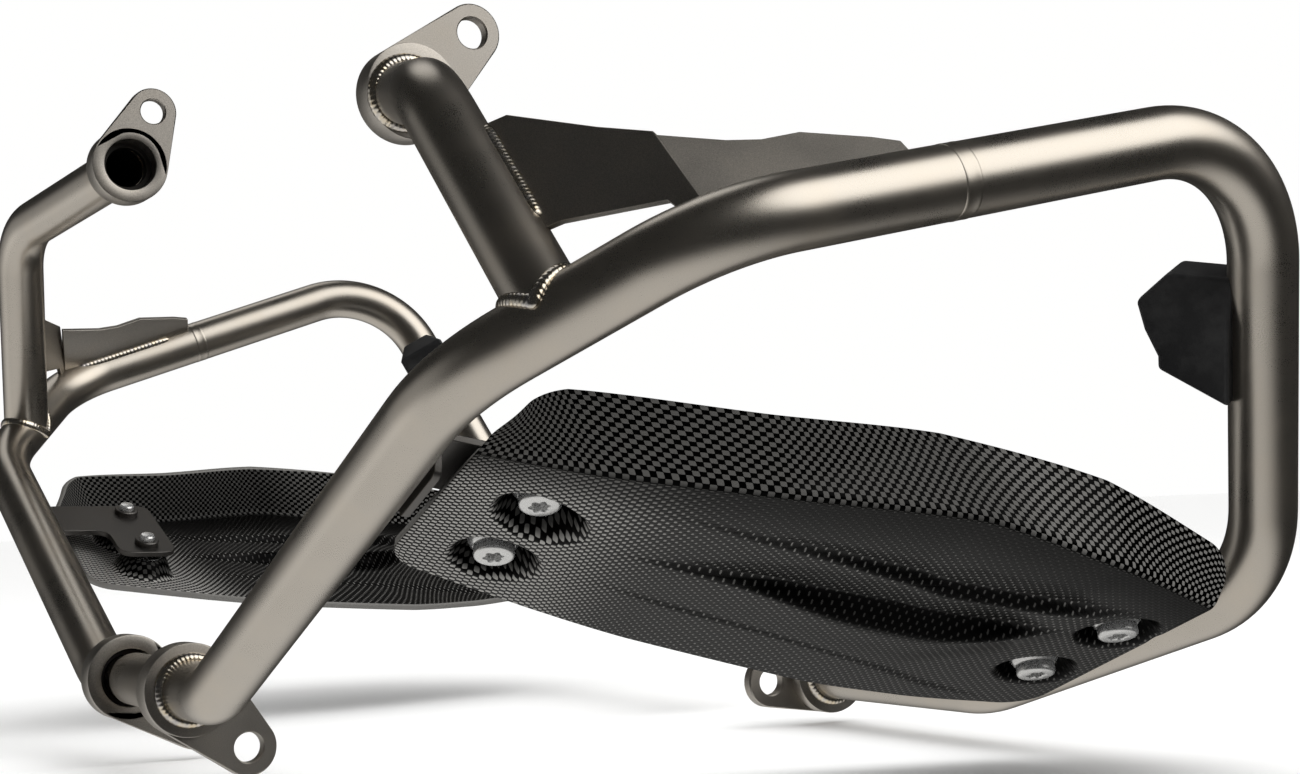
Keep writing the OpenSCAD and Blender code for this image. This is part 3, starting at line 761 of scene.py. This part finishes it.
def lay_weave(mesh, u, v, along, shade, dished):
    """The map that the weave follows, and at each point the strength and size of the tows'
    painted highlight, and the tone, which paints shade.
    """
    weave = np.column_stack([along, np.where(v < 1, v * TOP_BAND, TOP_BAND + (v - 1) * LOWER_FACE)])
    layer = mesh.uv_layers.new(name="weave")
    loops = np.zeros(len(mesh.loops), int)
    mesh.loops.foreach_get("vertex_index", loops)
    layer.data.foreach_set("uv", (weave[loops] / TOW + MAP_OFFSET).astype(np.float32).ravel())
    face = smooth(v, 1.0, 1.03)
    fold_shade = smooth(v, 0.93, 1.0) * (1 - smooth(v, 1.02, 1.3))
    back = smooth(u, 0.8, 1.9)
    # The painted highlight covers more of each crown and shows brighter towards the plate's front
    size = (1 - face) * (0.92 - 0.3 * smooth(u, 3.4, 4.2)) + face * (0.74 - 0.55 * back)
    size = size * (1 - 0.6 * face * smooth(u, 1.2, 2.4) * (1 - smooth(v, 1.12, 1.32)))
    gain = (1 - face) * (0.27 + 0.2 * smooth(u, 3.0, 3.6)) + face * (1.15 - 0.6 * back)
    # Painted shade dims the painted highlight on the pressed steps, along the fold and inside the bolt dishes
    gain = gain * (1 - 0.85 * shade) * (1 - 0.75 * fold_shade) * (1 - 0.93 * dished)
    # tone paints shade: low across the top band, and dark on the pressed steps, along the fold and in the
    # dishes
    tone = ((1 - face) * 0.12 + face) * (1 - 0.93 * shade) * (1 - 0.6 * fold_shade) \
        * (1 - 0.9 * dished)
    for name, values in (("weave_gain", gain), ("weave_size", size), ("weave_tone", tone)):
        attribute = mesh.attributes.new(name, "FLOAT", "POINT")
        attribute.data.foreach_set("value", values.astype(np.float32))


def skid_plate(side):
    columns, rows, band_rows = 220, 150, 24
    steps = np.linspace(0, 5, 800)
    line = plate_surface(steps, np.full(800, 1.4))
    length = np.concatenate([[0], np.cumsum(np.linalg.norm(np.diff(line, axis=0), axis=1))])
    u_line = np.interp(np.linspace(0, length[-1], columns), length, steps)
    v_line = np.concatenate([np.linspace(0, 1, band_rows, endpoint=False),
                             np.linspace(1, 2, rows - band_rows)])
    uu, vv = np.meshgrid(u_line, v_line, indexing="ij")
    u0, v0 = uu.ravel(), vv.ravel()
    u, v = round_corners(u0, v0)
    e = 1e-3
    p = plate_surface(u, v)
    du = plate_surface(u + e, v) - plate_surface(u - e, v)
    dv = plate_surface(u, v + e) - plate_surface(u, v - e)
    normal = np.cross(du, dv)
    normal /= np.linalg.norm(normal, axis=1)[:, None]
    if normal[columns * rows // 2, 2] > 0:
        normal = -normal
    height, shade = relief(u, v)
    height = smoothed(height.reshape(columns, rows))
    p, dished = press_dishes(p + normal * height.ravel()[:, None])
    index = np.arange(columns * rows).reshape(columns, rows)
    faces = [tuple(int(k) for k in (index[i, j], index[i + 1, j], index[i + 1, j + 1], index[i, j + 1]))
             for i in range(columns - 1) for j in range(rows - 1)]

    mesh = bpy.data.meshes.new(f"{side}_skid_shell")
    mesh.from_pydata([Vector(q) * MM for q in p], [], faces)
    lay_weave(mesh, u0, v0, np.interp(u0, steps, length), shade, dished)
    mesh.transform(PLATE_PLACE[side])
    # The left shell thickens inward from this surface, and the right one outward
    if (side == "right") != (upward_lean(mesh) > 0):
        mesh.flip_normals()
    for m in (CARBON, EDGE):
        mesh.materials.append(m)
    obj = bpy.data.objects.new(f"{side}_skid_shell", mesh)
    bpy.context.scene.collection.objects.link(obj)
    mesh.shade_smooth()
    shell = obj.modifiers.new("shell", "SOLIDIFY")
    shell.thickness = PLATE_THICKNESS * MM
    shell.offset = -1
    shell.use_even_offset = True
    shell.use_quality_normals = True
    shell.material_offset_rim = 1
    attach(obj, f"{side}_half")
    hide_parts(f"{side}_skid_plate")
    return obj


def upward_lean(mesh):
    """The mean upward lean of the mesh's faces."""
    return sum(p.normal.z for p in mesh.polygons) / len(mesh.polygons)


def torx_head(shape, origin, frame_axes, seat, height, head_r):
    ex, ey, ez = frame_axes
    n = 72
    t = np.linspace(0, 2 * np.pi, n, endpoint=False)
    lobes = 3.35 + 0.52 * np.cos(6 * t)
    top = seat + height
    rings = [(np.full(n, 4.0), seat - 9), (np.full(n, 4.0), seat), (np.full(n, head_r - 0.3), seat),
             (np.full(n, head_r), seat + 0.4), (np.full(n, head_r), top - 1.3),
             (np.full(n, head_r - 0.25), top - 0.6), (np.full(n, head_r - 0.8), top - 0.15),
             (np.full(n, head_r - 1.4), top), (lobes + 0.45, top), (lobes, top - 0.4),
             (lobes, top - 2.9), (lobes * 0.45, top - 3.3), (np.full(n, 0.25), top - 3.4)]
    points = [[origin + h * ez + r * (math.cos(a) * ex + math.sin(a) * ey) for r, a in zip(rs, t)]
              for rs, h in rings]
    return shape.rings(points)


def hardware(side):
    bolts, washers, nuts = Shape(), Shape(), Shape()
    tail = NUT_FACE - NUT_HEIGHT - BOLT_END
    shank = [(2.2, tail), (3.4, tail + 0.3), (4.0, tail + 1.1), (4.0, HEAD_SEAT - 8)]
    rise = [(4.3, 0), (9.8, 0), (10.0, 0.3), (10.0, 1.6), (9.75, 2.6), (9.2, 3.6), (8.5, 4.4)]
    profile = [(r, DISH_FLOOR + h) for r, h in rise] + [(7.9, HEAD_SEAT + 0.02), (4.3, HEAD_SEAT + 0.02)]
    for origin, square in bolt_places():
        ez = square[2]
        torx_head(bolts, origin, square, HEAD_SEAT, 4.5, 7.75)
        lathe(bolts, origin, ez, shank, 40)
        lathe(washers, origin, ez, profile, 72, closed=True)
        collar = NUT_FACE - NUT_HEIGHT
        lathe(nuts, origin, ez, [(4.05, collar + 0.4), (4.4, collar), (6.0, collar), (6.5, collar + 0.5),
                                 (6.5, NUT_FACE), (4.05, NUT_FACE)], 48, closed=True)
    make(side, "torx_bolts", bolts, [STEEL], ["plate_bolts"], crease=32, place=PLATE_PLACE)
    make(side, "cone_washers", washers, [STEEL], ["plate_washers"], crease=40, place=PLATE_PLACE)
    # The nuts get the titanium darkened as painted shade
    make(side, "round_nuts", nuts, [PAINTED_SHADE_TITANIUM], ["plate_nuts"], crease=40, place=PLATE_PLACE)


def bracket(side, name, pair, outline, lip_at=None):
    """A sheet under one pair of bolts, with a lip down to the tube where lip_at is given."""
    first, second, axis = pair
    ex, ey, ez = square = axes(second - first, axis)
    centre = (first + second) / 2
    shape = prism(Shape(), rounded(outline, 9), NUT_FACE, NUT_FACE + BRACKET_THICKNESS, centre, square)
    if lip_at is not None:
        lip = rounded([[-2, 0], [32, 0], [32, 18], [-2, 18]], 4)
        prism(shape, lip, 0, BRACKET_THICKNESS, centre + lip_at * ey + NUT_FACE * ez,
              (ex, ez, np.cross(ex, ez)))
    # The bracket gets the titanium darkened as painted shade
    make(side, f"{name}_sheet", shape, [PAINTED_SHADE_TITANIUM], [name], bevel=0.5, place=PLATE_PLACE)


def brackets(side):
    bracket(side, "front_bracket", BOLT_PAIRS[0],
            [[-32, -15], [32, -15], [32, 47], [-2, 47], [-2, 17], [-32, 17]], lip_at=44)
    bracket(side, "rear_bracket", BOLT_PAIRS[1], [[-38, -48], [38, -48], [38, 15], [-38, 15]])


# ---------------------------------------------------------------- bumper
def bumper(side):
    up = unit(REAR_TOP - REAR_LOW)
    lean = np.array([-0.9, -0.4, 0])
    out = unit(lean - (lean @ up) * up)
    at = REAR_TOP + 0.43 * (REAR_LOW - REAR_TOP)
    ex, ey, ez = axes(out, np.cross(out, up))
    wide, narrow = 15.0, 8.5
    # The flank runs from the tube along the bottom and up to the crest, and the crown closes it
    flank = [(8, -26), (35, -14), (35, -9), (40, 1), (43, 12), (8, 4)]
    crown = [(33, 22), (8, 22)]
    points = []
    for s in (-1, 1):
        points += [(x, y, s * wide) for x, y in flank] + [(x, y, s * narrow) for x, y in crown]
    n = 8
    faces = [(0, 1, 2, 3, 4, 5), (5, 4, 6, 7)]
    faces += [tuple(n + i for i in f) for f in [(0, 1, 2, 3, 4, 5), (5, 4, 6, 7)]]
    rim = [0, 1, 2, 3, 4, 6, 7, 5]
    faces += [(a, b, n + b, n + a) for a, b in zip(rim, rim[1:] + rim[:1])]
    shape = Shape().add([at + x * ex + y * ey + z * ez for x, y, z in points], faces)
    make(side, "bumper_moulding", shape, [RUBBER], ["bumper"], bevel=1.6)
    bush = lathe(Shape(), at + 2 * ey, ex, [(6.0, 8), (6.5, 8.6), (6.5, 21.4), (6.0, 22)], 48)
    make(side, "bumper_bush_turned", bush, [TITANIUM], ["bumper_bush"], crease=30)
    screw = lathe(Shape(), at + 2 * ey, ex, [(3, 15), (3, 31), (5.5, 31), (5.5, 34.2), (4.9, 35)], 48)
    make(side, "bumper_screw_head", screw, [STEEL], ["bumper_screw"], crease=30)


for side in ("left", "right"):
    main_tubes(side)
    splice_band(side)
    boss_beads(side)
    strut_foot_bead(side)
    gusset(side)
    boss(side, "front_boss", FRONT_BOSS, FRONT_TAB, 10.02)
    boss(side, "upper_boss", UPPER_BOSS[side], UPPER_TAB[side], FLOOR_BORE_R)
    boss(side, "rear_boss", REAR_BOSS, REAR_TAB, FLOOR_BORE_R)
    skid_plate(side)
    hardware(side)
    brackets(side)
    bumper(side)
cross_sleeve()


# ---------------------------------------------------------------- floor, light and camera
def floor():
    mesh = bpy.data.meshes.new("floor")
    size, level = 40.0, cad_box[0].z - FLOOR_GAP
    corners = [(-size, -size, level), (size, -size, level), (size, size, level), (-size, size, level)]
    mesh.from_pydata(corners, [], [(0, 1, 2, 3)])
    obj = bpy.data.objects.new("floor", mesh)
    bpy.context.scene.collection.objects.link(obj)
    paint = Nodes("pale floor", (0.99, 0.99, 0.988))
    paint.set(**{"Roughness": 0.85, "Specular IOR Level": 0.2})
    mesh.materials.append(paint.material)
    obj.visible_glossy = False


def studio():
    """Even pale surroundings for the floor, and soft panels for the metal to reflect."""
    world = bpy.data.worlds.new("studio")
    bpy.context.scene.world = world
    world.use_nodes = True
    tree = world.node_tree
    tree.nodes.clear()
    link = tree.links.new

    def node(kind, **values):
        made = tree.nodes.new(kind)
        for k, v in values.items():
            setattr(made, k, v)
        return made

    direction = node("ShaderNodeTexCoord").outputs["Generated"]
    panels = [  # direction, inner and outer cosine, brightness
        ((0.62, 0.50, 0.60), 0.93, 0.78, 2.0),
        ((-0.20, -0.25, -0.95), 0.80, 0.35, 0.72),
        ((-0.57, 0.05, 0.82), 0.99, 0.95, 0.9),
        ((-0.62, -0.77, -0.10), 0.97, 0.85, 0.36),
    ]
    total = None
    for aim, inner, outer, bright in panels:
        dot = node("ShaderNodeVectorMath", operation="DOT_PRODUCT")
        link(direction, dot.inputs[0])
        dot.inputs[1].default_value = unit(aim)
        spread = node("ShaderNodeMapRange", interpolation_type="SMOOTHSTEP")
        link(dot.outputs["Value"], spread.inputs[0])
        for i, v in enumerate((outer, inner, 0.0, bright)):
            spread.inputs[1 + i].default_value = v
        if total is None:
            total = spread.outputs[0]
        else:
            add = node("ShaderNodeMath", operation="ADD")
            link(total, add.inputs[0])
            link(spread.outputs[0], add.inputs[1])
            total = add.outputs[0]
    dim = node("ShaderNodeMath", operation="ADD")
    link(total, dim.inputs[0])
    dim.inputs[1].default_value = 0.028
    panels_light = node("ShaderNodeBackground")
    panels_light.inputs[0].default_value = (1.0, 0.985, 0.955, 1)
    link(dim.outputs[0], panels_light.inputs[1])
    pale = node("ShaderNodeBackground")
    pale.inputs[0].default_value = (1.0, 1.0, 0.995, 1)
    pale.inputs[1].default_value = 1.0
    mix = node("ShaderNodeMixShader")
    link(node("ShaderNodeLightPath").outputs["Is Glossy Ray"], mix.inputs[0])
    link(pale.outputs[0], mix.inputs[1])
    link(panels_light.outputs[0], mix.inputs[2])
    link(mix.outputs[0], node("ShaderNodeOutputWorld").inputs[0])
    world.cycles.sampling_method = "NONE"

    light = bpy.data.lights.new("softbox", "AREA")
    light.shape, light.size, light.size_y, light.energy = "RECTANGLE", 2.4, 1.8, 22
    obj = bpy.data.objects.new("softbox", light)
    obj.location = (0.7, 0.9, 2.3)
    obj.rotation_euler = (Vector((0, 0.15, 0.1)) - obj.location).to_track_quat("-Z", "Y").to_euler()
    bpy.context.scene.collection.objects.link(obj)
    obj.visible_glossy = False
    obj.visible_camera = False


def camera():
    data = bpy.data.cameras.new("camera")
    data.lens, data.sensor_width = 57.78, 36.0
    data.shift_x, data.shift_y = -0.0132, -0.0176
    data.clip_start, data.clip_end = 0.01, 100
    obj = bpy.data.objects.new("camera", data)
    forward = Vector((-0.8757, 0.47777, 0.06994))
    right = Vector((0.47626, 0.87848, -0.03804))
    up = right.cross(forward)
    basis = Matrix((right, up, -forward)).transposed().to_4x4()
    obj.matrix_world = Matrix.Translation((0.9399, -0.2454, 0.0683)) @ basis
    bpy.context.scene.collection.objects.link(obj)
    bpy.context.scene.camera = obj


floor()
studio()
camera()
bpy.context.scene.view_settings.view_transform = "Standard"
